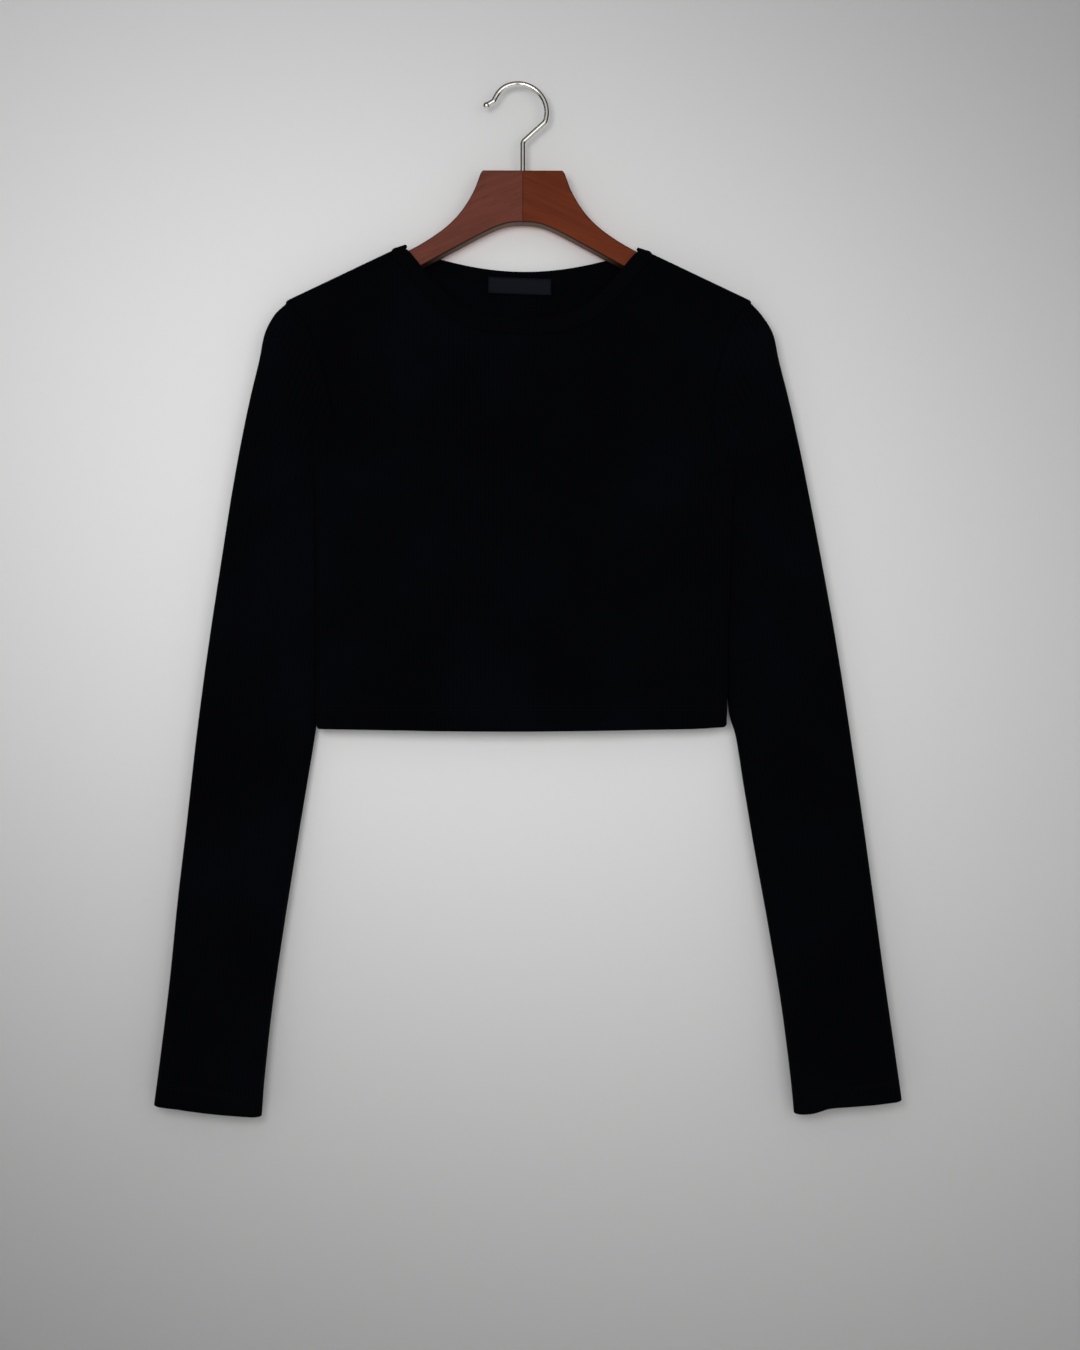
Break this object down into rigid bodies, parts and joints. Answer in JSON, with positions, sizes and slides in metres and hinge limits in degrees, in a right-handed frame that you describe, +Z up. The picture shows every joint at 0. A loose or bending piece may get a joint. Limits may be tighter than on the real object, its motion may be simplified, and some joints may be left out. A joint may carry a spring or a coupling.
{
  "type": "crop top on a hanger",
  "caption": "Black long-sleeved crew-neck crop top hung on a stained wooden hanger with a chromed wire hook.",
  "frame": {"origin": "under the crown of the hanger's hook, where a nail or rail holds it", "axes": "+Z up along the hanging garment, -Y out of its front, +X to the viewer's right seen from the front"},
  "size_m": [0.5678, 0.0202, 0.7843],
  "materials": {
    "cloth": "matt black rib jersey with fine upright ribs",
    "label": "dark navy woven strip, left bare",
    "wood": "red-brown stained, satin lacquer",
    "hook": "polished wire"
  },
  "bodies": {
    "root": {"front": "cloth", "back": "cloth", "sleeve_left": "cloth", "sleeve_right": "cloth", "neckband": "cloth", "neck_label": "label", "hanger_wood_left": "wood", "hanger_wood_right": "wood", "hanger_hook": "hook"}
  },
  "joints": []
}
